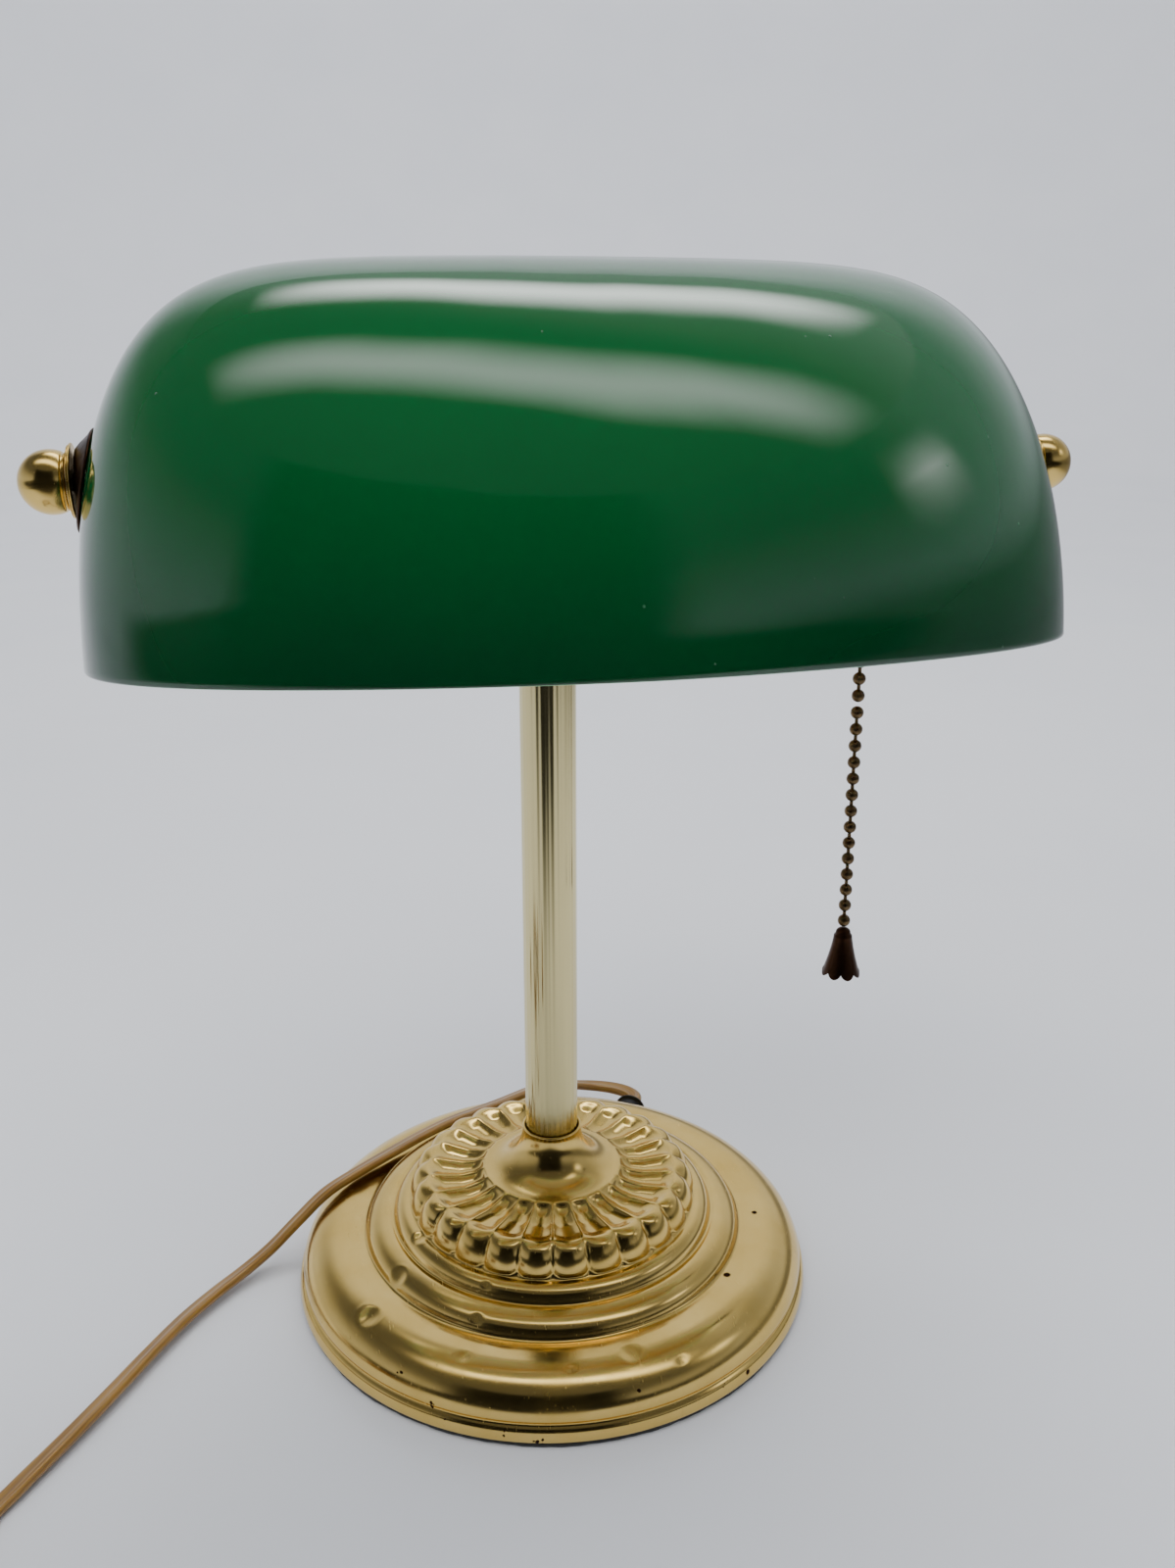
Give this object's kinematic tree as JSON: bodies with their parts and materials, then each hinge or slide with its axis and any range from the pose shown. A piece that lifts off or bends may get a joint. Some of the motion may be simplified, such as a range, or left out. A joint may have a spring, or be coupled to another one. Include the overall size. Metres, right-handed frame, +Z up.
{
  "type": "desk lamp",
  "caption": "Banker's desk lamp with a stepped brass base, a reeded stem, a tilting green glass shade on a yoke, and a pull-chain socket with a tubular bulb",
  "frame": {"origin": "middle of the base, on the underside of its felt pad", "axes": "+X along the shade towards the pull chain, -Y towards the reader, +Z up"},
  "size_m": [0.3482, 0.1878, 0.2579],
  "materials": {
    "polished_brass": "polished and lacquered, a few dark specks",
    "pale_brass": "polished, reeded",
    "plain_brass": "satin",
    "bronze": "dark antique bronze",
    "steel": "zinc plated",
    "copper": "bare",
    "aluminium": "satin",
    "solder": "dull",
    "iron": "rough cast",
    "felt": "felt",
    "green_glass": "glossy cased glass, green outside and opal inside",
    "bulb_glass": "frosted",
    "phenolic": "moulded phenolic",
    "fibre": "pressed fibre",
    "black_rubber": "matt",
    "amber_vinyl": "translucent, glossy",
    "brown_plastic": "moulded"
  },
  "bodies": {
    "stand": {"felt_pad": "felt", "base_weight": "iron", "base_shell": "polished_brass", "cord_bushing": "black_rubber", "threaded_rod": "steel", "bottom_washer": "steel", "bottom_nut": "steel", "stem_tube": "pale_brass", "stem_collar": "polished_brass", "yoke_strap": "plain_brass", "top_washer": "steel", "top_nut": "steel", "inner_cord": "amber_vinyl", "left_stud": "steel", "right_stud": "steel", "left_ear_nut": "steel", "right_ear_nut": "steel", "socket_bracket": "plain_brass", "bracket_rivet_inner": "steel", "bracket_rivet_outer": "steel", "socket_nipple": "steel", "nipple_nut": "steel", "socket_cap": "plain_brass", "socket_shell": "plain_brass", "socket_liner": "fibre", "switch_body": "phenolic", "chain_guide": "plain_brass", "contact_plate": "phenolic", "centre_contact": "copper", "screw_shell": "copper", "cord_lead": "amber_vinyl", "cord_coil": "amber_vinyl", "cord_tail": "amber_vinyl", "cord_tie": "black_rubber", "plug_body": "brown_plastic", "plug_blade_left": "plain_brass", "plug_blade_right": "plain_brass"},
    "shade": {"shade": "green_glass", "left_cushion": "black_rubber", "right_cushion": "black_rubber", "left_cup_washer": "bronze", "right_cup_washer": "bronze", "left_knob_ring": "polished_brass", "right_knob_ring": "polished_brass"},
    "left_knob": {"left_knob": "polished_brass"},
    "right_knob": {"right_knob": "polished_brass"},
    "bulb": {"bulb_glass": "bulb_glass", "bulb_cap": "aluminium", "bulb_contact": "solder"},
    "switch_drum": {"switch_drum": "phenolic"},
    "chain_stub": {"chain_stub": "bronze"},
    "chain_upper": {"chain_upper": "bronze"},
    "chain_lower": {"chain_lower": "bronze", "pendant_bell": "bronze"}
  },
  "joints": [
    {"name": "shade_tilt", "type": "hinge", "parent": "stand", "child": "shade", "pos_m": [0.0088, 0, 0.2124], "axis": [1, 0, 0], "range_deg": [-30, 40]},
    {"name": "left_knob_turn", "type": "hinge", "parent": "stand", "child": "left_knob", "pos_m": [-0.1071, 0, 0.2124], "axis": [-1, 0, 0], "continuous": true},
    {"name": "right_knob_turn", "type": "hinge", "parent": "stand", "child": "right_knob", "pos_m": [0.1247, 0, 0.2124], "axis": [1, 0, 0], "continuous": true},
    {"name": "bulb_turn", "type": "hinge", "parent": "stand", "child": "bulb", "pos_m": [0.0088, 0, 0.2124], "axis": [1, 0, 0], "continuous": true},
    {"name": "chain_pull", "type": "slide", "parent": "stand", "child": "chain_stub", "axis": [0, -0.515, -0.8572], "range_m": [0, 0.008], "stiffness_N_per_m": 600},
    {"name": "switch_drum_turn", "type": "hinge", "parent": "stand", "child": "switch_drum", "pos_m": [0.0744, 0, 0.2124], "axis": [1, 0, 0], "range_deg": [0, 95]},
    {"name": "chain_swing_side", "type": "hinge", "parent": "chain_stub", "child": "chain_upper", "pos_m": [0.0744, -0.01178, 0.1928], "axis": [0, 1, 0], "range_deg": [-15, 15]},
    {"name": "chain_swing_front", "type": "hinge", "parent": "chain_upper", "child": "chain_lower", "pos_m": [0.0744, -0.01178, 0.15682], "axis": [1, 0, 0], "range_deg": [-25, 25]}
  ],
  "couplings": [
    {"joint": "switch_drum_turn", "follows": "chain_pull", "rad_per_m": 196.35}
  ]
}
